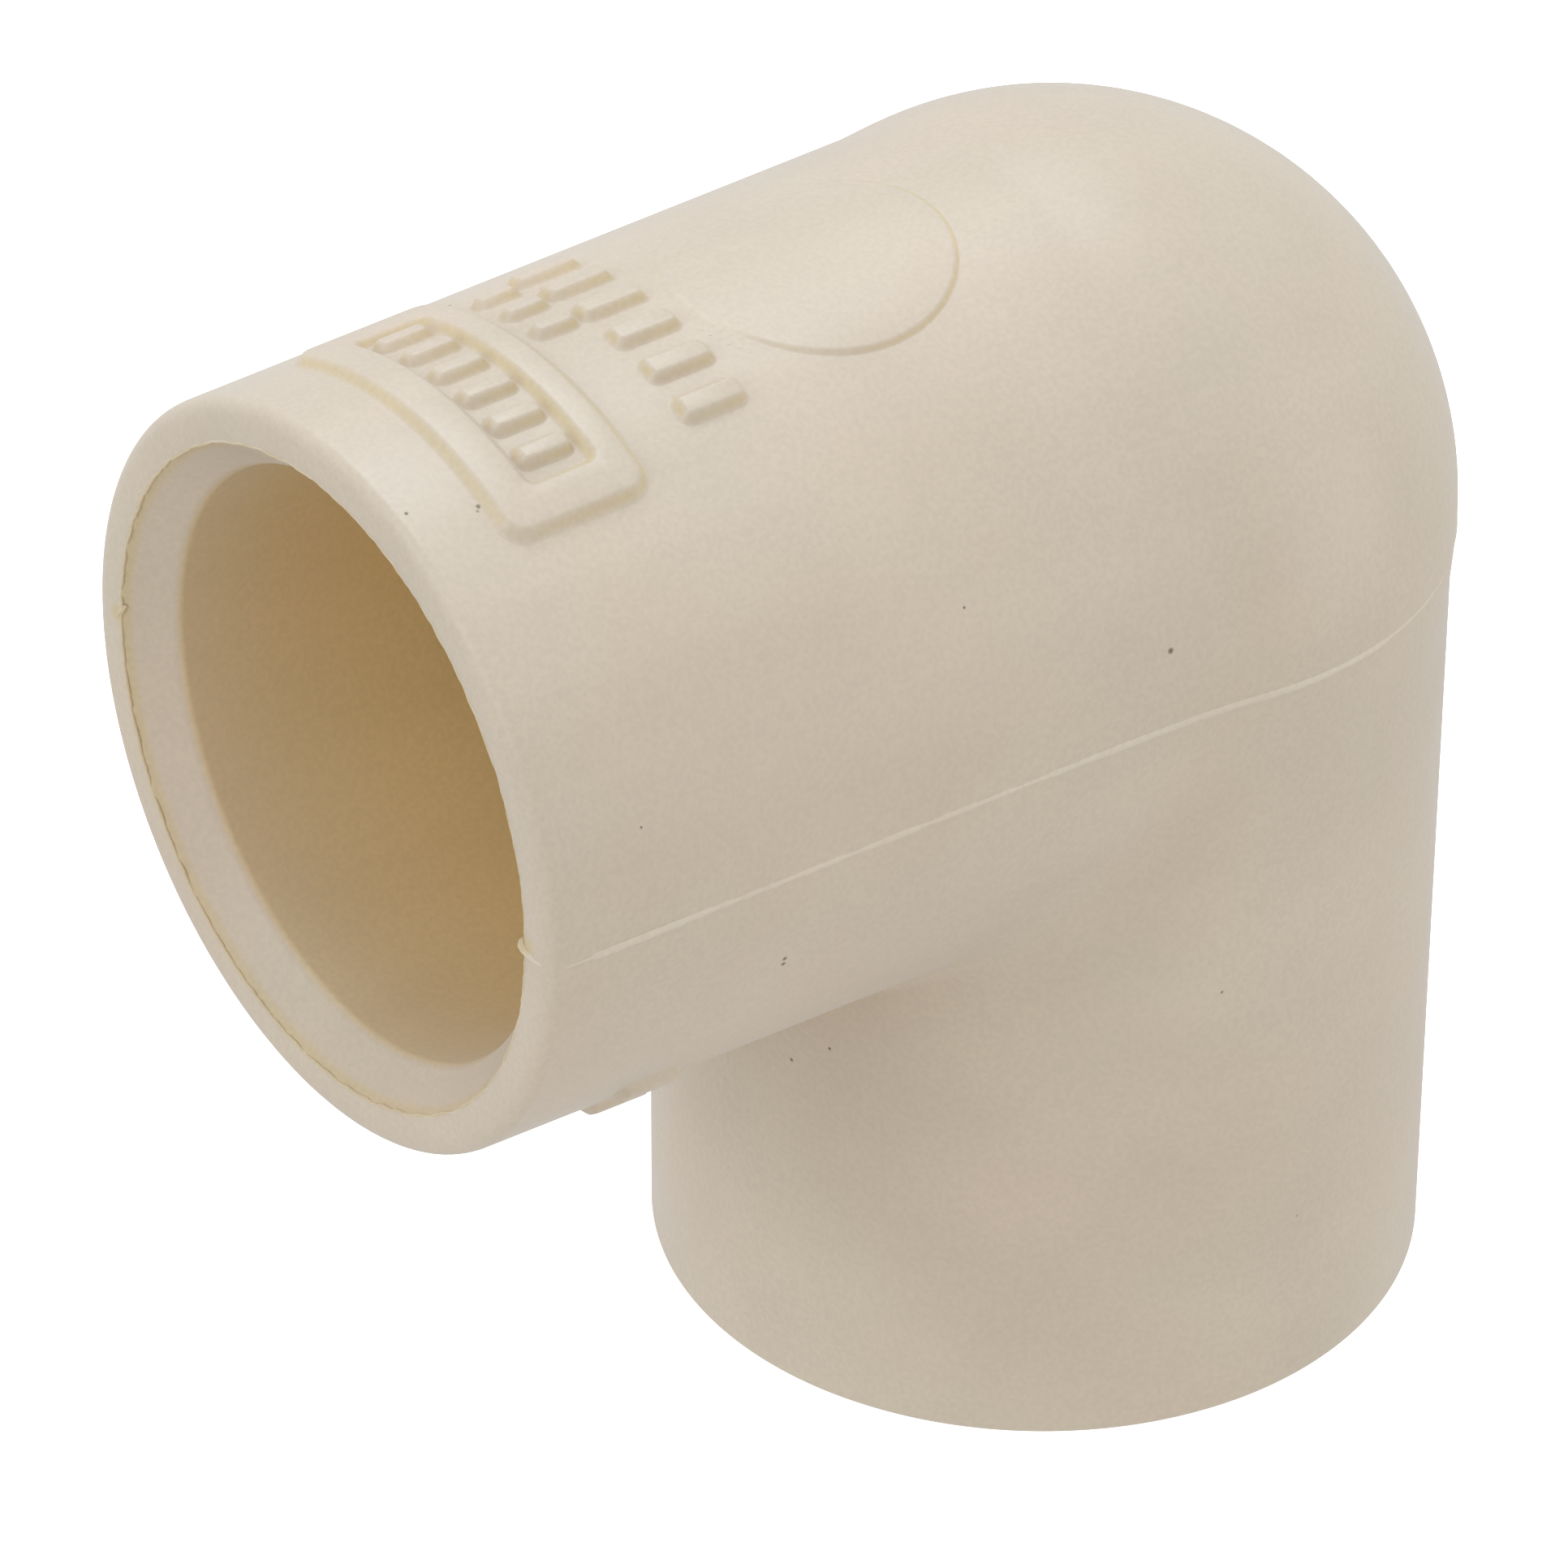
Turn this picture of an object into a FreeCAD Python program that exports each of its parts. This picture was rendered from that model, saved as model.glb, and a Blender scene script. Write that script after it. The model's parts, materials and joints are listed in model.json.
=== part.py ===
import FreeCAD, Part
import math
import os
import Sketcher

# A half inch moulded 90 degree elbow, both ends with a socket for solvent cementing on a pipe.
# Millimetres. The origin is the centre of the lower mouth, +Z is up along the lower socket,
# and the side socket opens towards -X. The two socket axes cross above the origin.

SIZES = {
    "socket_radius": 8.04,     # bore that the pipe's end slides into
    "lead_radius": 9.0,        # radius of the tapered lead-in at the mouth
    "lead_depth": 1.15,
    "socket_depth": 13.0,      # from the mouth to the stop
    "waterway_radius": 6.25,
    "hub_radius": 10.19,       # outside of a hub at its mouth
    "root_radius": 10.45,      # outside of a hub where the axes cross: the hubs have draft
    "dome_radius": 10.55,      # the bend's ball-shaped corner
    "hub_length": 12.2,        # from a mouth to the seam with the bend
    "side_reach": 23.0,        # from the side mouth to the crossing of the axes
    "lower_reach": 23.15,      # from the lower mouth to the crossing of the axes
    "rim_round": 0.5,
    "mark_height": 0.3,        # how far the moulded marks stand proud
    "mark_cut": 2.0,           # how deep a mark's tool reaches into the hub before it is trimmed
    "disc_radius": 3.95,
    "disc_height": 0.12,
    "disc_from_mouth": 15.0,
    "flash_width": 0.2,
    "flash_height": 0.1,
    "flash_start": 1.0,        # from the side mouth to where the parting flash begins
    "lip_width": 0.1,
    "burr_width": 0.24,
    "burr_height": 0.12,
    "panel_start": 2.25,       # from the side mouth to the marking panel
    "panel_length": 4.7,       # along the hub
    "panel_front_rib": 1.5,
    "panel_back_rib": 1.2,
    "panel_end_rib": 1.5,
    "panel_angle": 59.5,       # around the hub, in degrees
    "panel_bar_length": 1.5,
    "panel_bar_width": 0.6,
    "short_bar_start": 7.2,
    "short_bar_length": 1.2,
    "short_bar_width": 0.55,
    "long_bar_start": 8.65,
    "long_bar_length": 1.85,
    "long_bar_width": 0.75,
    "under_bar_start": 3.9,
    "under_bar_length": 1.8,
    "under_bar_width": 0.7,
}
# Where the bars of each row stand around the hub: degrees from its top towards -Y.
PANEL_BARS = [-18.0 + 6.9 * i for i in range(6)]
SHORT_BARS = [-19.5 + 7.2 * i for i in range(3)]
LONG_BARS = [-22.0 + 8.2 * i for i in range(6)]
UNDER_BARS = [132.0 + 10.7 * i for i in range(10)]

FULL_TURN = 360.0
ALONG_SIDE_HUB = FreeCAD.Rotation(FreeCAD.Vector(0, 1, 0), 90)   # turns local +Z to +X

doc = FreeCAD.newDocument("Elbow")
sheet = doc.addObject("Spreadsheet::Sheet", "Sizes")
for row, (alias, value) in enumerate(SIZES.items(), start=1):
    sheet.set(f"A{row}", alias)
    sheet.set(f"B{row}", str(value))
    sheet.setAlias(f"B{row}", alias)
doc.recompute()


def sized(expression):
    """The sheet's names in an expression, each with the sheet's name in front."""
    for alias in sorted(SIZES, key=len, reverse=True):
        expression = expression.replace(f"[{alias}]", f"Sizes.{alias}")
    return expression


def number(expression):
    return float(sheet.evalExpression(sized(expression)))


def bind(item, **expressions):
    """Drives properties of an object from the sheet. Aliases are written in square brackets."""
    for name, expression in expressions.items():
        item.setExpression(name, sized(expression))


def plane_of(body, role):
    return next(f for f in body.Origin.OriginFeatures if f.Role == role)


def profile(body, name, corners):
    """A closed sketch on the body's XZ plane through corners given as pairs of expressions."""
    sketch = body.newObject("Sketcher::SketchObject", name)
    sketch.AttachmentSupport = [(plane_of(body, "XZ_Plane"), "")]
    sketch.MapMode = "FlatFace"
    points = [FreeCAD.Vector(number(x), number(y), 0) for x, y in corners]
    count = len(points)
    for i, start in enumerate(points):
        sketch.addGeometry(Part.LineSegment(start, points[(i + 1) % count]))
    for i in range(count):
        sketch.addConstraint(Sketcher.Constraint("Coincident", i, 2, (i + 1) % count, 1))
    for i, (x, y) in enumerate(corners):
        for direction, expression, axis in (("DistanceX", x, -2), ("DistanceY", y, -1)):
            if expression == "0":
                sketch.addConstraint(Sketcher.Constraint("PointOnObject", i, 1, axis))
                continue
            index = sketch.addConstraint(
                Sketcher.Constraint(direction, -1, 1, i, 1, number(expression))
            )
            sketch.setExpression(f"Constraints[{index}]", sized(expression))
    return sketch


def revolve(body, kind, name, corners, axis):
    """A full turn of a profile about one of its sketch's axes: Revolution adds, Groove cuts."""
    sketch = profile(body, name + "_profile", corners)
    feature = body.newObject(f"PartDesign::{kind}", name)
    feature.Profile = sketch
    feature.ReferenceAxis = (sketch, [axis])
    feature.Angle = FULL_TURN
    doc.recompute()
    return feature


def hub(label, reach, place):
    """A socket hub: mouth at local z = 0, bore along +Z, with a lead-in, draft and a round rim."""
    body = doc.addObject("PartDesign::Body", label)
    seam_radius = f"[hub_radius] + ([root_radius] - [hub_radius]) * [hub_length] / {reach}"
    wall = [
        ("[lead_radius]", "0"),
        ("[hub_radius]", "0"),
        (seam_radius, "[hub_length]"),
        ("[socket_radius]", "[hub_length]"),
        ("[socket_radius]", "[lead_depth]"),
    ]
    turned = revolve(body, "Revolution", label + "_wall", wall, "V_Axis")
    rim = [
        f"Edge{i}"
        for i, edge in enumerate(turned.Shape.Edges, start=1)
        if isinstance(edge.Curve, Part.Circle)
        and abs(edge.Curve.Radius - number("[hub_radius]")) < 1e-6
    ]
    fillet = body.newObject("PartDesign::Fillet", label + "_rim")
    fillet.Base = (turned, rim)
    bind(fillet, Radius="[rim_round]")
    body.Tip = fillet
    body.Placement = place
    return body


def bend():
    """The corner between the hubs, with the waterway and the two stops, from the crossing."""
    body = doc.addObject("PartDesign::Body", "bend")
    for side, axis in (("side", "H_Axis"), ("lower", "V_Axis")):
        reach = f"[{side}_reach]"
        stub = f"[hub_length] - {reach}"
        seam = f"[hub_radius] + ([root_radius] - [hub_radius]) * [hub_length] / {reach}"
        outside = [("0", "0"), ("0", "[root_radius]"), (stub, seam), (stub, "0")]
        if side == "lower":
            outside = [(y, x) for x, y in outside]
        revolve(body, "Revolution", side + "_stub", outside, axis)
    dome = body.newObject("PartDesign::AdditiveSphere", "dome")
    bind(dome, Radius="[dome_radius]")
    doc.recompute()
    for side, axis in (("side", "H_Axis"), ("lower", "V_Axis")):
        reach = f"[{side}_reach]"
        stub = f"[hub_length] - {reach}"
        stop = f"[socket_depth] - {reach}"
        inside = [
            ("0", "0"),
            ("0", "[waterway_radius]"),
            (stop, "[waterway_radius]"),
            (stop, "[socket_radius]"),
            (stub, "[socket_radius]"),
            (stub, "0"),
        ]
        if side == "lower":
            inside = [(y, x) for x, y in inside]
        before = body.Shape.Volume
        revolve(body, "Groove", side + "_bore", inside, axis)
        if body.Shape.Volume >= before:
            raise RuntimeError(f"the {side} bore cut nothing")
    corner = body.newObject("PartDesign::SubtractiveSphere", "waterway_corner")
    bind(corner, Radius="[waterway_radius]")
    body.Tip = corner
    body.Placement = FreeCAD.Placement(CROSSING, FreeCAD.Rotation())
    return body


def cone(name, mouth_radius, root_radius, reach, place):
    item = doc.addObject("Part::Cone", name)
    bind(item, Radius1=mouth_radius, Radius2=root_radius, Height=reach)
    item.Placement = place
    return item


def sector(name, start, length, middle, sweep):
    """A wedge about the side hub's axis: start and length along the hub, middle and sweep around it."""
    item = doc.addObject("Part::Cylinder", name)
    bind(item, Radius="[hub_radius] + [mark_cut]", Height=length, Angle=sweep)
    # local X points down after the hub's turn, so 180 degrees brings the sweep's middle to the top
    turn = 180.0 + middle - number(sweep) / 2
    spin = FreeCAD.Rotation(FreeCAD.Vector(0, 0, 1), turn)
    item.Placement = FreeCAD.Placement(
        CROSSING + FreeCAD.Vector(number(f"{start} - [side_reach]"), 0, 0),
        ALONG_SIDE_HUB * spin,
    )
    return item


def bar(name, start, length, width, angle):
    """A block that stands across the side hub's wall at an angle from its top towards -Y."""
    item = doc.addObject("Part::Box", name)
    bind(item, Length=length, Width=width, Height="2 * [mark_cut]")
    lift = number("[hub_radius] - [mark_cut]")
    spin = FreeCAD.Rotation(FreeCAD.Vector(1, 0, 0), angle)
    corner = FreeCAD.Vector(0, -number(width) / 2, lift)
    middle = CROSSING + FreeCAD.Vector(number(f"{start} - [side_reach]"), 0, 0)
    item.Placement = FreeCAD.Placement(middle + spin.multVec(corner), spin)
    return item


def boolean(kind, name, base, tool):
    item = doc.addObject(f"Part::{kind}", name)
    item.Base = base
    item.Tool = tool
    return item


def joined(name, items):
    if len(items) == 1:
        return items[0]
    item = doc.addObject("Part::MultiFuse", name)
    item.Shapes = items
    return item


def raised(label, items, skin):
    """Marks that stand on the side hub's wall: the tools kept inside the skin and outside the hub."""
    tools = joined(label + "_tools", items)
    kept = boolean("Common", label + "_kept", tools, skin)
    return boolean("Cut", label, kept, side_form)


def bar_row(label, angles, size_name):
    start, length, width = (f"[{size_name}_{k}]" for k in ("start", "length", "width"))
    bars = [bar(f"{label}_{i}", start, length, width, a) for i, a in enumerate(angles)]
    return raised(label, bars, mark_skin)


def marking_panel():
    """A closed border around the hub's top, with a row of plain bars in it."""
    half = number("[panel_angle]") / 2
    rib_sweep = math.degrees(number("[panel_end_rib]") / number("[hub_radius]"))
    back_rib = "[panel_start] + [panel_length] - [panel_back_rib]"
    around = [
        sector("panel_front", "[panel_start]", "[panel_front_rib]", 0.0, "[panel_angle]"),
        sector("panel_back", back_rib, "[panel_back_rib]", 0.0, "[panel_angle]"),
    ]
    along = [
        sector(
            f"panel_end_{side}",
            "[panel_start]",
            "[panel_length]",
            side * (half - rib_sweep / 2),
            "[panel_end_rib] / [hub_radius] * 180 / pi",
        )
        for side in (-1, 1)
    ]
    border = raised("panel_border", around + along, mark_skin)
    front_end = "[panel_start] + [panel_front_rib]"
    gap = "[panel_length] - [panel_front_rib] - [panel_back_rib]"
    bar_start = f"{front_end} + ({gap} - [panel_bar_length]) / 2"
    bars = [
        bar(f"panel_bar_{i}", bar_start, "[panel_bar_length]", "[panel_bar_width]", a)
        for i, a in enumerate(PANEL_BARS)
    ]
    return [border, raised("panel_bars", bars, mark_skin)]


def insert_disc():
    """The round witness of a mould insert on top of the side hub, a little proud of the wall."""
    pin = doc.addObject("Part::Cylinder", "disc_pin")
    bind(pin, Radius="[disc_radius]", Height="2 * [hub_radius]")
    pin.Placement.Base = CROSSING + FreeCAD.Vector(number("[disc_from_mouth] - [side_reach]"), 0, 0)
    skin = cone(
        "disc_skin",
        "[hub_radius] + [disc_height]",
        "[root_radius] + [disc_height]",
        "[side_reach]",
        SIDE_MOUTH,
    )
    return raised("insert_disc", [pin], skin)


def side_flash():
    """The two straight ridges along the side hub where the mould's halves met."""
    skin = cone(
        "flash_skin",
        "[hub_radius] + [flash_height]",
        "[root_radius] + [flash_height]",
        "[side_reach]",
        SIDE_MOUTH,
    )
    made = []
    for label, angle in (("parting_flash_near", 90.0), ("parting_flash_far", -90.0)):
        length = "[side_reach] - [flash_start]"
        ridge = bar(label + "_block", "[flash_start]", length, "[flash_width]", angle)
        outside = raised(label + "_long", [ridge], skin)
        made.append(boolean("Cut", label, outside, dome_form))
    return made


def back_flash():
    """The ridge around the back of the bend, in the same plane as the two straight ones."""
    ring = doc.addObject("Part::Cylinder", "back_ring")
    bind(ring, Radius="[dome_radius] + [flash_height]", Height="[flash_width]", Angle="180")
    ring.Placement = FreeCAD.Placement(
        CROSSING - FreeCAD.Vector(0, 0, number("[flash_width]") / 2),
        FreeCAD.Rotation(FreeCAD.Vector(0, 0, 1), -90),
    )
    outside = boolean("Cut", "back_ring_outside", ring, dome_form)
    return boolean("Cut", "parting_flash_back", outside, lower_form)


def side_lip():
    """The thin feather of flash inside the edge of the side mouth."""
    body = doc.addObject("PartDesign::Body", "side_lip")
    slope = "[lead_depth] / ([lead_radius] - [socket_radius])"
    corners = [
        ("[lead_radius]", "0"),
        ("[lead_radius] - [lip_width]", f"[lip_width] * {slope}"),
        ("[lead_radius] - [lip_width]", "0"),
    ]
    body.Tip = revolve(body, "Revolution", "lip_ring", corners, "V_Axis")
    body.Placement = SIDE_MOUTH
    return body


def rim_burrs(side_hub, lip):
    """Two small fins where the parting plane crosses the side mouth's rim."""
    fins = []
    for name, side in (("near_fin", -1), ("far_fin", 1)):
        fin = doc.addObject("Part::Box", name)
        bind(
            fin,
            Length="2 * [burr_height]",
            Width="[hub_radius] - [rim_round] - [lead_radius] + 2 * [lip_width]",
            Height="[burr_width]",
        )
        inner = number("[lead_radius] - 2 * [lip_width]")
        outer = number("[hub_radius] - [rim_round]")
        low_y = -outer if side < 0 else inner
        fin.Placement.Base = CROSSING + FreeCAD.Vector(
            number("-[side_reach] - [burr_height]"), low_y, -number("[burr_width]") / 2
        )
        fins.append(fin)
    outside = boolean("Cut", "fins_on_rim", joined("fins", fins), side_hub)
    return boolean("Cut", "rim_burrs", outside, lip)


CROSSING = FreeCAD.Vector(0, 0, number("[lower_reach]"))
LOWER_MOUTH = FreeCAD.Placement()
SIDE_MOUTH = FreeCAD.Placement(
    CROSSING - FreeCAD.Vector(number("[side_reach]"), 0, 0), ALONG_SIDE_HUB
)

# Plain solids of the outer form, used only to trim the pieces that stand on it.
side_form = cone("side_form", "[hub_radius]", "[root_radius]", "[side_reach]", SIDE_MOUTH)
lower_form = cone("lower_form", "[hub_radius]", "[root_radius]", "[lower_reach]", LOWER_MOUTH)
mark_skin = cone(
    "mark_skin",
    "[hub_radius] + [mark_height]",
    "[root_radius] + [mark_height]",
    "[side_reach]",
    SIDE_MOUTH,
)
dome_form = doc.addObject("Part::Sphere", "dome_form")
bind(dome_form, Radius="[dome_radius]")
dome_form.Placement.Base = CROSSING

side_hub = hub("side_hub", "[side_reach]", SIDE_MOUTH)
lower_hub = hub("lower_hub", "[lower_reach]", LOWER_MOUTH)
lip = side_lip()
subparts = [side_hub, lower_hub, bend(), lip]
subparts += marking_panel()
subparts += [
    bar_row("short_bars", SHORT_BARS, "short_bar"),
    bar_row("long_bars", LONG_BARS, "long_bar"),
    bar_row("underside_bars", UNDER_BARS, "under_bar"),
    insert_disc(),
    back_flash(),
    rim_burrs(side_hub, lip),
]
subparts += side_flash()
doc.recompute()

for item in doc.Objects:
    if "Invalid" in item.State or "Error" in item.State:
        raise RuntimeError(f"{item.Label} did not recompute: {item.State}")
for item in subparts:
    if item.Shape.isNull() or not item.Shape.isValid() or not item.Shape.Solids:
        raise RuntimeError(f"{item.Label} has no valid solid")

os.makedirs("parts", exist_ok=True)
for item in subparts:
    item.Shape.exportStep(f"parts/{item.Label}.step")
    print(item.Label, len(item.Shape.Solids), "solids", round(item.Shape.Volume, 4), "mm3")
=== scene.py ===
import json
import math

import bmesh
import bpy
import numpy
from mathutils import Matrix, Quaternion, Vector, noise

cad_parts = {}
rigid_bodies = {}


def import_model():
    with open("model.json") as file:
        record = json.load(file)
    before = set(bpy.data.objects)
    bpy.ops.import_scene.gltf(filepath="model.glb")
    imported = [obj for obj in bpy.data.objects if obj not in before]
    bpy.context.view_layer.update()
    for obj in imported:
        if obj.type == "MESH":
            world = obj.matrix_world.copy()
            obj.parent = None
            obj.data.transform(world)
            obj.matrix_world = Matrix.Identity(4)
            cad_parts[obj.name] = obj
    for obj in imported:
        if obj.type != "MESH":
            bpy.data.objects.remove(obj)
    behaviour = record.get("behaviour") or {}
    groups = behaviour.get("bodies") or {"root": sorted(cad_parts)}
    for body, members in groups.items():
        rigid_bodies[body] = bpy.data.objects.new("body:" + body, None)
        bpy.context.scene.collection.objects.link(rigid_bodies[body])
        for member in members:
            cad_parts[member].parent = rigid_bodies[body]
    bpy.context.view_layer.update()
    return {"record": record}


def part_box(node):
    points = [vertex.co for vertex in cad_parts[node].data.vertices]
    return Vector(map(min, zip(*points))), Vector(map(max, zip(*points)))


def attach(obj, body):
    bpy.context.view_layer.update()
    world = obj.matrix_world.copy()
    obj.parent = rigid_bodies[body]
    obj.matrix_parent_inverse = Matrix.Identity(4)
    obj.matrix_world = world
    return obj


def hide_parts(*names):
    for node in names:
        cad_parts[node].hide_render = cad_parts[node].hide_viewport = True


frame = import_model()
print("frame loaded")

mm = 0.001
rest = "root"

# Places that the frame gives. s is the distance from the side mouth along the side hub.
mounts = {m["name"]: m for m in frame["record"]["mounts"]}
sideMount = mounts["side_socket"]
crossing = Vector((0, 0, sideMount["pos_m"][2]))      # where the two socket axes meet
socketRadius = sideMount["dims"]["r_mm"] * mm
socketHalf = sideMount["dims"]["length_mm"] * mm / 2
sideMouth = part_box("side_hub")[0].x
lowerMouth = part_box("lower_hub")[0].z
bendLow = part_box("bend")[0]
sideSeam, lowerSeam = bendLow.x, bendLow.z
sideStop = sideMount["pos_m"][0] + socketHalf
lowerStop = mounts["lower_socket"]["pos_m"][2] + socketHalf
sideReach = crossing.x - sideMouth
lowerReach = crossing.z - lowerMouth

form = {
    "aroundHub": 256,            # faces around a hub
    "ballRadius": 10.55 * mm,    # the bend's ball stands a little proud of the hubs
    "rootRadius": 10.45 * mm,    # a hub's outside at the crossing
    "draft": 0.26 / 23.0,        # how much a hub thins for each unit towards its mouth
    "waterRadius": 6.25 * mm,    # the waterway past the pipe stops
    "weld": 0.002 * mm,          # points nearer than this become one
    "smoothAngle": 40,           # edges sharper than this stay sharp
}


def hubRadius(fromCrossing):
    return form["rootRadius"] - form["draft"] * fromCrossing


def clearSelection():
    if bpy.context.object and bpy.context.object.mode != "OBJECT":
        bpy.ops.object.mode_set(mode="OBJECT")
    bpy.ops.object.select_all(action="DESELECT")


def named(name):               # the primitive just added becomes a piece, open for editing
    piece = bpy.context.object
    piece.name = piece.data.name = name
    bpy.ops.object.mode_set(mode="EDIT")
    return piece


def pick(kind, test):          # selects by place: kind is VERT, EDGE or FACE, test gets the middle
    bpy.ops.mesh.select_mode(type=kind)
    bpy.ops.mesh.select_all(action="DESELECT")
    shape = bmesh.from_edit_mesh(bpy.context.object.data)
    items = {"VERT": shape.verts, "EDGE": shape.edges, "FACE": shape.faces}[kind]
    for item in items:
        corners = [item] if kind == "VERT" else item.verts
        if test(sum((v.co for v in corners), Vector()) / len(corners)):
            item.select_set(True)
    bmesh.update_edit_mesh(bpy.context.object.data)


def startProfile(name, first):  # one vertex, from which a profile is drawn
    clearSelection()
    bpy.ops.mesh.primitive_plane_add(size=1 * mm, location=(0, 0, 0))
    piece = named(name)
    bpy.ops.mesh.select_mode(type="VERT")
    bpy.ops.mesh.merge(type="CENTER")
    bpy.ops.mesh.select_all(action="SELECT")
    bpy.ops.transform.translate(value=first)
    return piece


def drawTo(path):              # extrudes the selected vertex along a list of points
    for start, end in zip(path, path[1:]):
        step = Vector(end) - Vector(start)
        bpy.ops.mesh.extrude_region_move(TRANSFORM_OT_translate={"value": step})


def spinRound(axis, centre, steps):
    bpy.ops.mesh.select_all(action="SELECT")
    bpy.ops.mesh.spin(steps=steps, angle=2 * math.pi, center=centre, axis=axis)


def closeUp():                 # welds what meets and turns every face outwards
    bpy.ops.mesh.select_all(action="SELECT")
    bpy.ops.mesh.remove_doubles(threshold=form["weld"])
    bpy.ops.mesh.normals_make_consistent(inside=False)


def onlySelect(*pieces):       # selects these, with the first one active
    clearSelection()
    for piece in pieces:
        piece.select_set(True)
    bpy.context.view_layer.objects.active = pieces[0]


def joinUp(pieces):
    onlySelect(*pieces)
    if len(pieces) > 1:
        bpy.ops.object.join()
    bpy.ops.object.mode_set(mode="EDIT")
    closeUp()
    return pieces[0]


def done(piece, nodes, material):
    onlySelect(piece)
    bpy.ops.object.shade_smooth_by_angle(angle=math.radians(form["smoothAngle"]))
    piece.data.materials.clear()
    piece.data.materials.append(material)
    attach(piece, rest)
    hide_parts(*nodes)
    piece.select_set(False)
    print("made", piece.name, len(piece.data.polygons), "faces")


plastic = {
    "body": (0.61, 0.520, 0.410),          # cream
    "deep": (0.795, 0.620, 0.340),         # painted shade and light inside the sockets, warmer and darker, standing in for light bouncing round the bore and coming through the wall
    "wall": (0.610, 0.495, 0.310),         # painted shade: the steep sides of raised marks, and a mouth's edge
    "thread": (0.680, 0.596, 0.470),       # thin flash and burrs, painted lighter for the light that comes through them
    "deepFrom": 8.13 * mm,                 # distances from a bore's axis where the inside colour
    "deepTo": 8.05 * mm,                   # starts and is full
    "mouthShare": 0.45,                    # how much of the painted bore shade a socket's mouth has
    "mouthReach": (15.5 * mm, 22.2 * mm),  # it is full inside the first, and fades to the second
    # painted shade: the band below stands in for shade under the lip and light coming through it
    "edgeFrom": 22.68 * mm,                # the yellowish band just inside a mouth's edge, from the
    "edgeTo": 22.88 * mm,                  # crossing
    "edgeRadius": 9.03 * mm,               # where it ends on the rim
    "edgeSoft": 0.03 * mm,
    "edgeShow": 0.9,
    "cloudSize": 7.0 * mm,                 # broad, faint clouds in the colour
    "cloudDepth": 0.030,
    "streakSize": 2.2 * mm,                # flow streaks along the side hub
    "streakStretch": (0.12, 1, 1),
    "streakDepth": 0.016,
    "grainSize": 0.16 * mm,
    "grainDepth": 0.030,
    "grainBump": 0.0006 * mm,
    "rippleSize": 1.3 * mm,                # the soft waviness of a moulded skin
    "rippleBump": 0.0007 * mm,
    "span": (0.25, 0.75),                  # the part of a noise that is used
    "hueSpan": (0.35, 0.65),
    "pinkCloud": (1.010, 0.995, 0.990),
    "greenCloud": (0.990, 1.005, 1.000),
    "roughness": (0.36, 0.46),
    "roughSpan": (0.3, 0.7),
    "speckColor": (0.095, 0.065, 0.035),
    "speckShow": 0.85,
    "speckEdge": (0.5, 1.5),               # a speck fades between these shares of its radius
    "sheen": 0.12,                         # pale bloom where the skin turns away
    "sheenRoughness": 0.4,
    "sheenTint": (0.60, 0.75, 1.0),
}

# burnt specks in the plastic: millimetres from the crossing, then the radius
specks = [
    (-3.8, -10.2, 2.2, 0.080), (-15.6, -9.9, -2.75, 0.060), (-15.6, -9.85, -2.95, 0.060),
    (-22.5, -3.1, 9.7, 0.050), (-20.7, -3.65, 9.5, 0.070), (-20.8, -3.75, 9.45, 0.055),
    (-20.0, -9.75, 3.0, 0.040), (-15.8, 4.6, 9.15, 0.050), (-9.6, -3.75, -11.7, 0.045),
    (-10.0, -2.6, -12.6, 0.055), (-1.8, -10.15, -9.3, 0.050), (-1.7, -10.15, -9.15, 0.045),
    (-1.6, -10.15, -9.05, 0.040), (0.9, -10.25, -17.6, 0.045), (-9.5, -9.0, 5.1, 0.035),
    (-6.0, 8.2, 6.6, 0.05), (5.5, 7.6, -8.4, 0.05), (9.2, 4.4, -15.2, 0.045),
]

# painted shade: small yellowish hollows beside the burrs
hollowShade = [(-23.0, -9.12, 0.26, 0.24), (-23.0, 9.18, -0.05, 0.24)]


def blendColor(tree, amount, first, second, mode="MIX"):
    mix = tree.nodes.new("ShaderNodeMix")
    mix.data_type, mix.blend_type = "RGBA", mode
    for socket, value in ((mix.inputs[0], amount), (mix.inputs[6], first), (mix.inputs[7], second)):
        if isinstance(value, bpy.types.NodeSocket):
            tree.links.new(value, socket)
        else:
            socket.default_value = value
    return mix.outputs[2]


def workOut(tree, operation, *values, vector=False):
    node = tree.nodes.new("ShaderNodeVectorMath" if vector else "ShaderNodeMath")
    node.operation = operation
    for socket, value in zip(node.inputs, values):
        if isinstance(value, bpy.types.NodeSocket):
            tree.links.new(value, socket)
        else:
            socket.default_value = value
    single = not vector or operation in ("LENGTH", "DISTANCE")
    return node.outputs["Value" if single else "Vector"]


def spread(tree, value, low, high, start, end):   # maps low..high onto start..end, with soft ends
    node = tree.nodes.new("ShaderNodeMapRange")
    node.interpolation_type = "SMOOTHSTEP"
    tree.links.new(value, node.inputs["Value"])
    names = ("From Min", "From Max", "To Min", "To Max")
    for name, number in zip(names, (low, high, start, end)):
        node.inputs[name].default_value = number
    return node.outputs["Result"]


def cloud(tree, place, size, detail=2.0, stretch=(1, 1, 1)):
    mapping = tree.nodes.new("ShaderNodeMapping")
    mapping.inputs["Scale"].default_value = stretch
    tree.links.new(place, mapping.inputs["Vector"])
    node = tree.nodes.new("ShaderNodeTexNoise")
    node.inputs["Scale"].default_value = 1 / size
    node.inputs["Detail"].default_value = detail
    tree.links.new(mapping.outputs["Vector"], node.inputs["Vector"])
    return node


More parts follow.
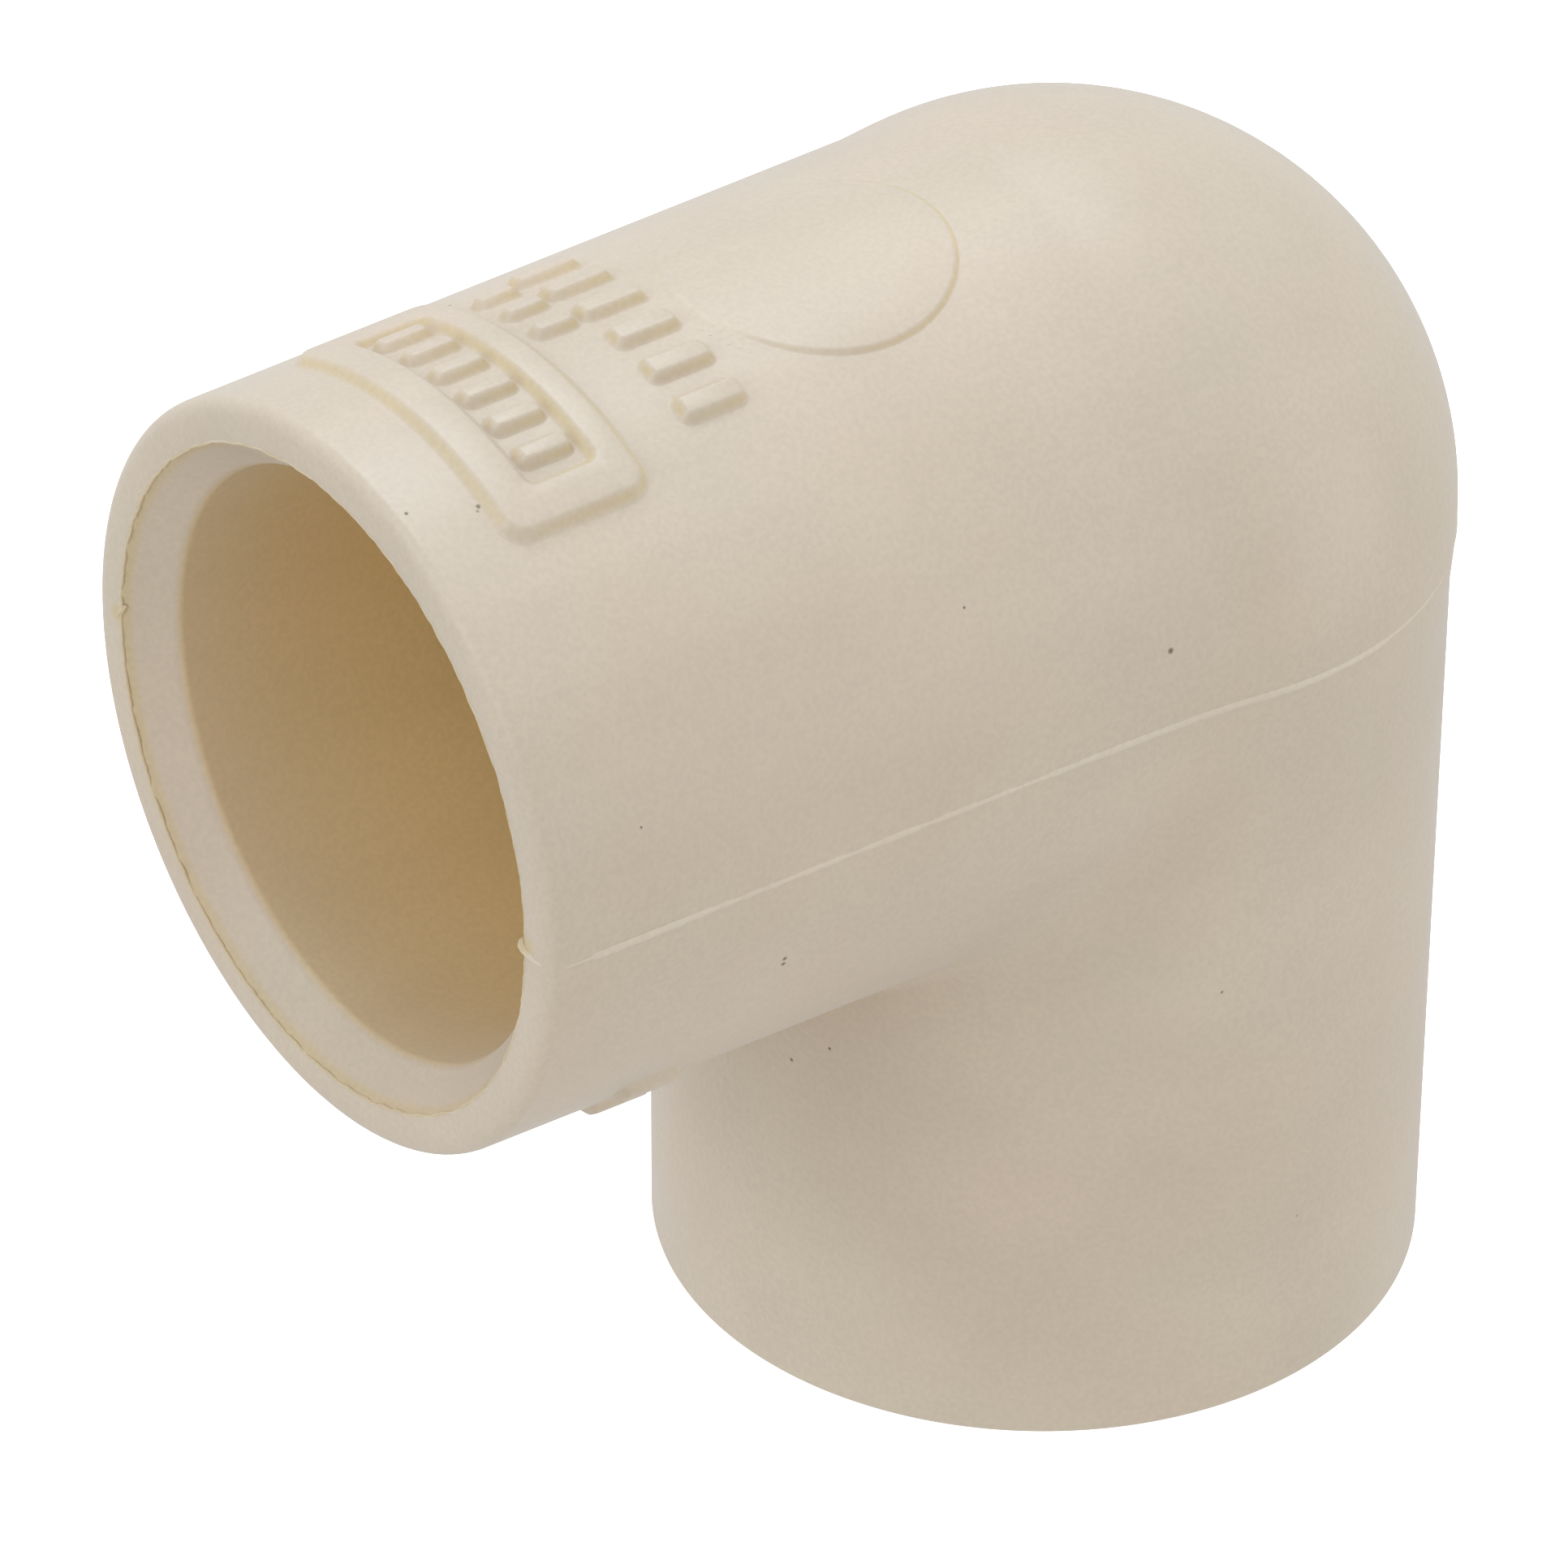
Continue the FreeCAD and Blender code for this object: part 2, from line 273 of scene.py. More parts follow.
def fromBores(tree, place):    # distance from the nearer of the two bores' axes
    parts = tree.nodes.new("ShaderNodeSeparateXYZ")
    tree.links.new(place, parts.inputs["Vector"])
    x, y, z = parts.outputs
    beyondSide = workOut(tree, "MAXIMUM", x, 0.0)
    aboveLower = workOut(tree, "MAXIMUM", z, 0.0)
    reaches = []
    for first, second in ((beyondSide, z), (x, aboveLower)):
        joined = tree.nodes.new("ShaderNodeCombineXYZ")
        for socket, value in zip(joined.inputs, (first, y, second)):
            tree.links.new(value, socket)
        reaches.append(workOut(tree, "LENGTH", joined.outputs["Vector"], vector=True))
    return workOut(tree, "MINIMUM", *reaches)


def towardsMouth(tree, place):   # how far out along either hub
    parts = tree.nodes.new("ShaderNodeSeparateXYZ")
    tree.links.new(place, parts.inputs["Vector"])
    reaches = [workOut(tree, "MULTIPLY", parts.outputs[i], -1.0) for i in (0, 2)]
    return workOut(tree, "MAXIMUM", *reaches)


def spots(tree, place, listed):
    full, none = plastic["speckEdge"]
    mask = 0.0
    for x, y, z, radius in listed:
        away = workOut(tree, "DISTANCE", place, Vector((x, y, z)) * mm, vector=True)
        spot = spread(tree, away, radius * full * mm, radius * none * mm, 1.0, 0.0)
        mask = workOut(tree, "MAXIMUM", spot, mask)
    return mask


def mouldedPlastic(name, bodyColor):
    material = bpy.data.materials.new(name)
    material.use_nodes = True
    tree = material.node_tree
    shader = tree.nodes["Principled BSDF"]
    coordinates = tree.nodes.new("ShaderNodeTexCoord").outputs["Object"]
    place = workOut(tree, "SUBTRACT", coordinates, crossing, vector=True)
    full = lambda color: (*color, 1)

    # painted shade inside the bores, eased off towards the mouths
    inside = spread(tree, fromBores(tree, place), plastic["deepTo"], plastic["deepFrom"], 1.0, 0.0)
    outward = towardsMouth(tree, place)
    depth = spread(tree, outward, *plastic["mouthReach"], 1.0, plastic["mouthShare"])
    inside = workOut(tree, "MULTIPLY", inside, depth)
    # painted shade in a band just inside each mouth's edge
    atMouth = spread(tree, outward, plastic["edgeFrom"], plastic["edgeTo"],
                     0.0, plastic["edgeShow"])
    within = spread(tree, fromBores(tree, place), plastic["edgeRadius"],
                    plastic["edgeRadius"] + plastic["edgeSoft"], 1.0, 0.0)
    edge = workOut(tree, "MULTIPLY", atMouth, within)
    # painted shade on the steep walls of raised marks, carried by a mesh attribute
    reliefShade = tree.nodes.new("ShaderNodeAttribute")
    reliefShade.attribute_name = "reliefShade"
    color = blendColor(tree, reliefShade.outputs["Fac"], full(bodyColor), full(plastic["wall"]))
    color = blendColor(tree, edge, color, full(plastic["wall"]))
    color = blendColor(tree, inside, color, full(plastic["deep"]))

    clouds = cloud(tree, place, plastic["cloudSize"])
    streaks = cloud(tree, place, plastic["streakSize"], 3.0, plastic["streakStretch"])
    grain = cloud(tree, place, plastic["grainSize"], 1.0)
    for texture, depth in ((clouds, "cloudDepth"), (streaks, "streakDepth"), (grain, "grainDepth")):
        level = spread(tree, texture.outputs["Fac"], *plastic["span"],
                       1 - plastic[depth], 1 + plastic[depth])
        color = blendColor(tree, 1.0, color, level, "MULTIPLY")
    # the clouds turn a little pink or green as well as dark or light
    hue = spread(tree, clouds.outputs["Color"], *plastic["hueSpan"], 0.0, 1.0)
    tinted = blendColor(tree, hue, full(plastic["pinkCloud"]), full(plastic["greenCloud"]))
    color = blendColor(tree, 1.0, color, tinted, "MULTIPLY")
    # painted shade in the small hollows beside the burrs
    color = blendColor(tree, spots(tree, place, hollowShade), color, full(plastic["wall"]))
    mask = workOut(tree, "MULTIPLY", spots(tree, place, specks), plastic["speckShow"])
    color = blendColor(tree, mask, color, full(plastic["speckColor"]))
    tree.links.new(color, shader.inputs["Base Color"])

    gloss = spread(tree, streaks.outputs["Fac"], *plastic["roughSpan"], *plastic["roughness"])
    tree.links.new(gloss, shader.inputs["Roughness"])
    shader.inputs["Sheen Weight"].default_value = plastic["sheen"]
    shader.inputs["Sheen Roughness"].default_value = plastic["sheenRoughness"]
    shader.inputs["Sheen Tint"].default_value = full(plastic["sheenTint"])
    ripple = cloud(tree, place, plastic["rippleSize"])
    height = workOut(tree, "MULTIPLY", grain.outputs["Fac"], plastic["grainBump"] / mm)
    height = workOut(tree, "MULTIPLY_ADD", ripple.outputs["Fac"],
                     plastic["rippleBump"] / mm, height)
    bump = tree.nodes.new("ShaderNodeBump")
    bump.inputs["Distance"].default_value = mm
    tree.links.new(height, bump.inputs["Height"])
    tree.links.new(bump.outputs["Normal"], shader.inputs["Normal"])
    return material


ivory = mouldedPlastic("ivoryPlastic", plastic["body"])
# a lighter copy of the plastic: painted light for thin threads that let light through
throughLitIvory = mouldedPlastic("throughLitPlastic", plastic["thread"])
print("plastic ready")

rim = {
    "leadRadius": 9.0 * mm,      # the lead-in at the mouth
    "leadDepth": 1.15 * mm,
    "leadRound": 0.16 * mm,      # the soft turn from the lead-in to the socket wall
    "roundAlong": 0.38 * mm,     # the rim's outer round, along the hub and across the rim
    "roundAcross": 0.52 * mm,
    "roundLead": 0.03 * mm,      # a last row of the straight skin, close before that round
    "innerRound": 0.05 * mm,
    "steps": 10,
}


def hubProfile(reach, seam):   # (radius, distance from the mouth) round the hub's wall
    along, across, steps = rim["roundAlong"], rim["roundAcross"], rim["steps"]
    mouthRadius = hubRadius(reach)
    points = [(hubRadius(reach - s), s) for s in (seam, seam * 0.75, seam * 0.5, seam * 0.25)]
    points.append((hubRadius(reach - along), along + rim["roundLead"]))
    for i in range(steps + 1):
        turn = math.pi / 2 * i / steps
        points.append((mouthRadius - across * (1 - math.cos(turn)), along * (1 - math.sin(turn))))
    lead, small = rim["leadRadius"], rim["innerRound"]
    points += [(lead + small, 0), (lead + small * 0.3, small * 0.3), (lead - small * 0.1, small)]
    # the cone of the lead-in, eased into the socket wall
    slope = (lead - socketRadius) / rim["leadDepth"]
    soft = rim["leadRound"]
    points.append((lead - slope * (rim["leadDepth"] - soft), rim["leadDepth"] - soft))
    for i in range(1, steps + 1):
        t = i / steps
        s = rim["leadDepth"] - soft + 2 * soft * t
        points.append((socketRadius + slope * soft * (1 - t) ** 2, s))
    points += [(socketRadius, s) for s in (seam * 0.4, seam * 0.7, seam)]
    return points


def makeHub(name, node, reach, seam, place, axis):   # place turns (radius, distance) into a point
    profile = [place(r, s) for r, s in hubProfile(reach, seam)]
    piece = startProfile(name, profile[0])
    drawTo(profile + profile[:1])
    spinRound(axis, crossing, form["aroundHub"])
    closeUp()
    done(piece, [node], ivory)


makeHub("sideHub", "side_hub", sideReach, sideSeam - sideMouth,
        lambda r, s: Vector((sideMouth + s, 0, crossing.z + r)), (1, 0, 0))
makeHub("lowerHub", "lower_hub", lowerReach, lowerSeam - lowerMouth,
        lambda r, s: Vector((r, 0, lowerMouth + s)), (0, 0, 1))

bend = {
    "skinRows": 112,             # rows of faces from one seam to the other
    "waterRows": 48,
    "creaseSoft": 0.42 * mm,     # how far the crease between the hubs is filled at the throat
    "creaseWide": 1.00 * mm,     # and how much more where the hubs meet gently, between these two
    "creaseFrom": 0.55,          # shares of the way out to the side
    "creaseTo": 0.97,
    "creaseLean": 1.4,           # puts the widest place nearer the side
    "outerShare": 0.35,          # how much of the filling is left on the outer side of the bend
    "outerRun": 4.0 * mm,
    "ballSoft": 0.06 * mm,       # the same for the step at the ball's edge
    "waterSoft": 0.8 * mm,       # and for the waterway's inner corner
    "nudge": 0.001 * mm,         # how finely points are settled on a surface, and how often
    "rounds": 14,
}


def softLeast(a, b, reach):    # the lesser of two, with a fillet where they are nearly equal
    blend = numpy.maximum(reach - numpy.abs(a - b), 0) / reach
    return numpy.minimum(a, b) - blend * blend * reach / 4


def fromRod(points, axis, radius, draft):
    # distance from a rod that comes in along an axis and ends, rounded, at the crossing
    along = numpy.minimum(points[:, axis], 0)
    off = points.copy()
    off[:, axis] -= along
    return numpy.linalg.norm(off, axis=1) - (radius + draft * along)


def fromSkin(points):          # distance from the bend's outside; points are from the crossing
    side = fromRod(points, 0, form["rootRadius"], form["draft"])
    lower = fromRod(points, 2, form["rootRadius"], form["draft"])
    ball = numpy.linalg.norm(points, axis=1) - form["ballRadius"]
    aside = numpy.abs(points[:, 1]) / form["rootRadius"]
    way = numpy.clip((aside - bend["creaseFrom"]) / (bend["creaseTo"] - bend["creaseFrom"]), 0, 1)
    gentle = numpy.sin(numpy.pi * way ** bend["creaseLean"]) ** 2
    crease = bend["creaseSoft"] + bend["creaseWide"] * gentle
    inner = numpy.clip(-(points[:, 0] + points[:, 2]) / bend["outerRun"], 0, 1)
    crease *= bend["outerShare"] + (1 - bend["outerShare"]) * inner * inner * (3 - 2 * inner)
    return softLeast(softLeast(side, lower, crease), ball, bend["ballSoft"])


def fromWaterway(points):
    side = fromRod(points, 0, form["waterRadius"], 0)
    lower = fromRod(points, 2, form["waterRadius"], 0)
    return softLeast(side, lower, bend["waterSoft"])


def settle(points, distance):  # moves points along the slope until they lie on the surface
    nudges = numpy.eye(3) * bend["nudge"]
    for _ in range(bend["rounds"]):
        slope = numpy.stack([distance(points + n) - distance(points - n) for n in nudges], axis=1)
        slope /= 2 * bend["nudge"]
        points = points - distance(points)[:, None] * slope / (slope ** 2).sum(axis=1)[:, None]
    return points


def sweepRing(name, radius, x, z, rows, distance):
    # a ring at the side end, swung a quarter turn to the lower end, then settled on its true form
    piece = startProfile(name, Vector((x, 0, crossing.z + radius)))
    spinRound((1, 0, 0), crossing, form["aroundHub"])
    closeUp()
    pivot = Vector((x, 0, crossing.z + x))
    bpy.ops.mesh.spin(steps=rows, angle=math.pi / 2, center=pivot, axis=(0, -1, 0))
    bpy.ops.mesh.extrude_region_move(TRANSFORM_OT_translate={"value": (0, 0, z - pivot.z)})
    bpy.ops.object.mode_set(mode="OBJECT")
    middle = numpy.array(crossing)
    points = numpy.array([v.co for v in piece.data.vertices], float) - middle
    near = bend["nudge"]
    ends = (points[:, 0] < x + near) | (points[:, 2] < z - crossing.z + near)
    settled = numpy.where(ends[:, None], points, settle(points, distance)) + middle
    piece.data.vertices.foreach_set("co", settled.ravel())
    return piece


def makeEnd(name, profile, axis):   # the flat seam, the socket's last stretch and the pipe stop
    piece = startProfile(name, profile[0])
    drawTo(profile)
    spinRound(axis, crossing, form["aroundHub"])
    bpy.ops.object.mode_set(mode="OBJECT")
    return piece


def makeBend():
    outside = hubRadius(-sideSeam)
    sideEnd = [(outside, sideSeam), (socketRadius, sideSeam),
               (socketRadius, sideStop), (form["waterRadius"], sideStop)]
    lowerEnd = [(outside, lowerSeam), (socketRadius, lowerSeam),
                (socketRadius, lowerStop), (form["waterRadius"], lowerStop)]
    skin = sweepRing("bend", outside, sideSeam, lowerSeam, bend["skinRows"], fromSkin)
    waterway = sweepRing("waterway", form["waterRadius"], sideStop, lowerStop,
                         bend["waterRows"], fromWaterway)
    ends = [makeEnd("sideEnd", [Vector((x, 0, crossing.z + r)) for r, x in sideEnd], (1, 0, 0)),
            makeEnd("lowerEnd", [Vector((r, 0, z)) for r, z in lowerEnd], (0, 0, 1))]
    done(joinUp([skin, waterway, *ends]), ["bend"], ivory)


makeBend()

# Raised marks are drawn flat, x along the side hub and y around it, then laid on the hub.
marks = {
    "height": 0.29 * mm,
    "sink": 0.006 * mm,          # a mark's foot starts this far under the hub's skin
    "root": 0.12 * mm,           # its closed underside lies this deep
    "rise": 8,                   # steps in its soft wall
    "slice": 0.36 * mm,          # the longest face around the hub
    "level": 0.0005 * mm,        # an edge this near a height is on it
    "tintLean": 1.4,             # how tightly the painted wall shade keeps to the middle of a wall
    "backFade": 0.85,            # how much of it a wall that faces the bend loses
    "backFrom": (0.0, 0.4),      # and how far round it has to face
}


def softStep(t):
    return t * t * (3 - 2 * t)


def ease(value, low, high):
    return softStep(min(max((value - low) / (high - low), 0), 1))


def riseBy(height, skirt, steps, into=1):
    # insets the selected face along a soft wall; into is -1 for a dip
    for i in range(steps):
        lift = height * (softStep((i + 1) / steps) - softStep(i / steps))
        bpy.ops.mesh.inset(thickness=skirt / steps, depth=lift * into, use_boundary=True)


def shapePlate(length, width, corner, cornerSteps):   # rounds the plane that is selected
    bpy.ops.transform.resize(value=(length, width, 1), center_override=(0, 0, 0))
    bpy.ops.mesh.select_mode(type="VERT")
    bpy.ops.mesh.bevel(affect="VERTICES", offset=corner, segments=cornerSteps)


def dropRoot(depth):           # closes a mark underneath, from the open edge that is selected
    bpy.ops.mesh.extrude_region_move(TRANSFORM_OT_translate={"value": (0, 0, -depth)})


def pickLoop(height):          # the ring of edges at a height
    pick("EDGE", lambda m: abs(m.z - height) < marks["level"])


def layOnHub(piece, start, angle, height, swell=0.0, tint=1.0):
    onlySelect(piece)
    bpy.ops.object.mode_set(mode="EDIT")
    halfWidth = max(abs(v.co.y) for v in piece.data.vertices)
    cuts = int(halfWidth / marks["slice"])
    for i in range(-cuts, cuts + 1):
        bpy.ops.mesh.select_all(action="SELECT")
        bpy.ops.mesh.bisect(plane_co=(0, i * marks["slice"], 0), plane_no=(0, 1, 0))
    bpy.ops.object.mode_set(mode="OBJECT")
    # this attribute carries the painted shade for the marks' walls
    reliefShade = piece.data.attributes.new("reliefShade", "FLOAT", "POINT")
    for vertex, shade in zip(piece.data.vertices, reliefShade.data):
        x, y, z = vertex.co
        t = min(max(z / height, 0), 1)
        # painted shade: walls that face the mouth or the sides get the deeper shade
        facing = 1 - marks["backFade"] * ease(vertex.normal.x, *marks["backFrom"])
        shade.value = tint * (4 * t * (1 - t)) ** marks["tintLean"] * facing
        s = start + x
        skin = hubRadius(sideReach - s)
        radius = skin + z * (1 + swell * (y / mm) ** 2)
        turn = math.radians(angle) - y / skin
        vertex.co = (sideMouth + s, -radius * math.sin(turn), crossing.z + radius * math.cos(turn))
    return piece


bar = {
    "skirt": 0.32 * mm,          # the width of the soft wall
    "spread": 0.16 * mm,         # the soft foot reaches this far past the plain bar
    "corner": 0.36 * mm,
    "cornerSteps": 5,
    # each row: where it starts from the mouth, a bar's size, and its angles around the hub
    "rows": {
        "panelBars": {"start": 4.0 * mm, "length": 1.5 * mm, "width": 0.6 * mm,
                      "first": -18.0, "apart": 6.9, "count": 6},
        "shortBars": {"start": 7.2 * mm, "length": 1.2 * mm, "width": 0.55 * mm,
                      "first": -19.5, "apart": 7.2, "count": 3},
        "longBars": {"start": 8.65 * mm, "length": 1.85 * mm, "width": 0.75 * mm,
                     "first": -22.0, "apart": 8.2, "count": 6},
        "undersideBars": {"start": 3.9 * mm, "length": 1.8 * mm, "width": 0.7 * mm,
                          "first": 132.0, "apart": 10.7, "count": 10,
                          "height": 0.26 * mm, "tint": 0.2},
    },
}


def flatBar(name, length, width, height):
    clearSelection()
    bpy.ops.mesh.primitive_plane_add(size=1, location=(0, 0, 0))
    piece = named(name)
    shapePlate(length + 2 * bar["spread"], width + 2 * bar["spread"],
               bar["corner"], bar["cornerSteps"])
    bpy.ops.mesh.select_all(action="SELECT")
    bpy.ops.transform.translate(value=(length / 2, 0, -marks["sink"]))
    riseBy(height + marks["sink"], bar["skirt"], marks["rise"])
    pickLoop(-marks["sink"])
    dropRoot(marks["root"])
    bpy.ops.mesh.edge_face_add()
    bpy.ops.object.mode_set(mode="OBJECT")
    return piece


def makeBars(name, node):
    row = bar["rows"][name]
    height = row.get("height", marks["height"])
    first = flatBar(name, row["length"], row["width"], height)
    bars = [first]
    for i in range(1, row["count"]):
        onlySelect(first)
        bpy.ops.object.duplicate()
        bars.append(bpy.context.object)
    for i, piece in enumerate(bars):
        angle = row["first"] + row["apart"] * i
        layOnHub(piece, row["start"], angle, height, tint=row.get("tint", 1.0))
    done(joinUp(bars), [node], ivory)


makeBars("panelBars", "panel_bars")
makeBars("shortBars", "short_bars")
makeBars("longBars", "long_bars")
makeBars("undersideBars", "underside_bars")

border = {
    "start": 2.25 * mm,          # from the side mouth
    "length": 4.7 * mm,
    "angle": 59.5,               # its span around the hub
    "frontRib": 1.5 * mm,        # the rib towards the mouth, and the one towards the bend
    "backRib": 1.2 * mm,
    "endRib": 1.5 * mm,
    "corner": 0.85 * mm,
    "windowCorner": 0.42 * mm,
    "skirt": 0.44 * mm,
    "windowSkirt": 0.38 * mm,
    "cornerSteps": 10,
}


def makeBorder():
    height = marks["height"] + marks["sink"]
    width = math.radians(border["angle"]) * hubRadius(sideReach - border["start"])
    clearSelection()
    bpy.ops.mesh.primitive_plane_add(size=1, location=(0, 0, 0))
    piece = named("panelBorder")
    shapePlate(border["length"], width, border["corner"], border["cornerSteps"])
    bpy.ops.mesh.select_all(action="SELECT")
    bpy.ops.transform.translate(value=(border["length"] / 2, 0, -marks["sink"]))
    riseBy(height, border["skirt"], marks["rise"])
    bpy.ops.mesh.delete(type="ONLY_FACE")
    # the window: a second plate at the top, sunk back to the hub
    skirt = border["windowSkirt"]
    windowLength = border["length"] - border["frontRib"] - border["backRib"]
    windowWidth = width - 2 * border["endRib"]
    bpy.ops.mesh.select_all(action="DESELECT")
    bpy.ops.mesh.primitive_plane_add(size=1, location=(0, 0, 0))
    shapePlate(windowLength + skirt, windowWidth + skirt,
               border["windowCorner"], border["cornerSteps"])
    bpy.ops.mesh.select_linked()
    bpy.ops.transform.translate(value=(border["frontRib"] + windowLength / 2, 0, marks["height"]))
    riseBy(height, skirt, marks["rise"], -1)
    bpy.ops.mesh.delete(type="ONLY_FACE")
    pickLoop(marks["height"])
    bpy.ops.mesh.bridge_edge_loops()
    pickLoop(-marks["sink"])
    dropRoot(marks["root"])
    bpy.ops.mesh.bridge_edge_loops()
    bpy.ops.object.mode_set(mode="OBJECT")
    layOnHub(piece, border["start"], 0, marks["height"])
    done(joinUp([piece]), ["panel_border"], ivory)


makeBorder()

disc = {
    "centre": 15.0 * mm,         # from the side mouth
    "radius": 3.95 * mm,
    "height": 0.03 * mm,         # at its middle
    "swell": 0.19,               # flatter than the hub, so it stands prouder towards its two sides
    "skirt": 0.24 * mm,
    "around": 160,
    "arcRadii": (4.32 * mm, 4.02 * mm),   # faint tool lines beside the disc
    "arcTurn": 26.0,
    "arcSteps": 14,
    "arcWidth": 0.10 * mm,
    "arcHeight": 0.022 * mm,
    "arcShoulder": 0.8,                   # the height half way to its edge
}


def makeDisc():
    clearSelection()
    bpy.ops.mesh.primitive_circle_add(vertices=disc["around"], radius=disc["radius"],
                                      fill_type="NGON", location=(0, 0, -marks["sink"]))
    piece = named("insertDisc")
    riseBy(disc["height"] + marks["sink"], disc["skirt"], marks["rise"])
    pickLoop(-marks["sink"])
    dropRoot(marks["root"])
    bpy.ops.mesh.edge_face_add()
    bpy.ops.object.mode_set(mode="OBJECT")
    pieces = [layOnHub(piece, disc["centre"], 0, disc["height"], disc["swell"])]
    for radius in disc["arcRadii"]:
        half, high, low = disc["arcWidth"] / 2, disc["arcHeight"], -marks["root"] / 2
        shoulder = high * disc["arcShoulder"]
        ridge = [Vector((-radius + dx, 0, z)) for dx, z in
                 ((-half, low), (-half, 0), (-half / 2, shoulder), (0, high),
                  (half / 2, shoulder), (half, 0), (half, low), (-half, low))]
        arc = startProfile("arc", ridge[0])
        drawTo(ridge)
        bpy.ops.mesh.select_all(action="SELECT")
        turn = math.radians(disc["arcTurn"])
        bpy.ops.transform.rotate(value=-turn / 2, orient_axis="Z", center_override=(0, 0, 0))
        bpy.ops.mesh.spin(steps=disc["arcSteps"], angle=turn, center=(0, 0, 0), axis=(0, 0, -1))
        bpy.ops.mesh.select_all(action="SELECT")
        bpy.ops.mesh.remove_doubles(threshold=form["weld"])
        bpy.ops.mesh.fill_holes(sides=0)
        bpy.ops.object.mode_set(mode="OBJECT")
        for vertex in arc.data.vertices:      # the ends fade out
            if vertex.co.z > 0:
                way = min(1, abs(vertex.co.y) / (radius * turn / 2))
                vertex.co.z *= math.cos(math.pi / 2 * way) ** 0.5
        pieces.append(layOnHub(arc, disc["centre"], 0, disc["arcHeight"]))
    done(joinUp(pieces), ["insert_disc"], ivory)


makeDisc()

# Flash, lip and burrs are fine threads of plastic: a drawn path, given a round section.
# A thickness is the section's radius in millimetres.
thread = {
    "bury": 0.10 * mm,           # how far a flash thread's middle lies under the skin
    "rough": 0.13,               # how unevenly it is thick
    "roughSize": 0.55 * mm,
    "sections": 2,               # the roundness of the section
    "step": 0.12 * mm,           # between the points of a path
    "weld": 0.0005 * mm,
}


def wobble(point, size):       # between about -1 and 1, the same every time
    return noise.noise(Vector(point) / size)


def makeThread(name, path, thickness, closed=False):
    piece = startProfile(name, path[0])
    drawTo(list(path) + ([path[0]] if closed else []))
    bpy.ops.mesh.select_all(action="SELECT")
    bpy.ops.mesh.remove_doubles(threshold=thread["weld"])
    bpy.ops.object.mode_set(mode="OBJECT")
    bpy.ops.object.convert(target="CURVE")
    piece.data.bevel_depth = 1 * mm
    piece.data.bevel_resolution = thread["sections"]
    piece.data.use_fill_caps = True
    for point in piece.data.splines[0].points:
        point.radius = thickness(Vector(point.co[:3]))
    bpy.ops.object.convert(target="MESH")
    return piece


def unevenly(point):
    return 1 + thread["rough"] * wobble(point, thread["roughSize"])


def onSkin(points):            # puts a path on the outside of the hubs and the bend
    middle = numpy.array(crossing)
    buried = lambda p: fromSkin(p) + thread["bury"]
    return [Vector(p) for p in settle(numpy.array(points, float) - middle, buried) + middle]


flash = {
    "start": 1.05 * mm,                    # from the side mouth
    "strong": 0.164,                       # thick near the mouth
    "thin": 0.130,                         # thin in the middle
    "full": 0.150,                         # fuller at the bend
    "faint": 0.118,                        # round the back of the bend
    "strongFade": (3.52 * mm, 5.28 * mm),  # from strong to thin between these, from the mouth
    "fullFade": (14.875 * mm, 17.5 * mm),  # from thin to full
    "faintFade": (0.05, 0.65),             # from full to faint, as angles round the bend
    "tipShare": 0.7,                       # its thickness at the very start
    "tipRun": 0.5 * mm,
    "drop": 0.50 * mm,                     # how far the line dips at the back of the bend
    "dropFrom": -6.0 * mm,                 # where the dip starts, from the crossing
    "dropRun": 14.0 * mm,                  # the way along the line until it is full
    "backSteps": 150,
}


def alongFlash(point):
    s = point.x - sideMouth
    level = flash["strong"] + (flash["thin"] - flash["strong"]) * ease(s, *flash["strongFade"])
    level += (flash["full"] - flash["thin"]) * ease(s, *flash["fullFade"])
    tip = ease(s, flash["start"], flash["start"] + flash["tipRun"])
    return level * (flash["tipShare"] + (1 - flash["tipShare"]) * tip) * unevenly(point)


def lineHeight(along):         # along is the way past the crossing
    start = flash["dropFrom"]
    return crossing.z - flash["drop"] * ease(along, start, start + flash["dropRun"])


def aroundFlash(point):
    turn = math.atan2(abs(point.x), abs(point.y))
    fade = ease(turn, *flash["faintFade"])
    return (flash["full"] + (flash["faint"] - flash["full"]) * fade) * unevenly(point)


def makeFlash():
    step, ball = thread["step"], form["ballRadius"]
    count = int((-sideMouth - flash["start"]) / step)
    places = [sideMouth + flash["start"] + i * step for i in range(count)] + [0]
    for name, node, side in (("partingFlashNear", "parting_flash_near", -1),
                             ("partingFlashFar", "parting_flash_far", 1)):
        line = [(x, side * form["rootRadius"], lineHeight(x)) for x in places]
        done(joinUp([makeThread(name, onSkin(line), alongFlash)]), [node], throughLitIvory)
    around = []
    for i in range(flash["backSteps"] + 1):
        turn = math.pi * i / flash["backSteps"]
        height = lineHeight(ball * min(turn, math.pi - turn))
        around.append((ball * math.sin(turn), -ball * math.cos(turn), height))
    back = makeThread("partingFlashBack", onSkin(around), aroundFlash)
    done(joinUp([back]), ["parting_flash_back"], throughLitIvory)


makeFlash()

lip = {
    "radius": 9.020 * mm,
    "depth": 0.03 * mm,          # its middle lies this far inside the mouth
    "thickness": 0.042,
    "uneven": 0.5,               # the share by which its thickness varies
    "jag": 0.045 * mm,           # how far it wanders, and how long its broad and fine jags are
    "jagSize": 0.50 * mm,
    "fineSize": 0.50 * mm / 3,
    "fineShare": 0.5,
    "steps": 720,
}


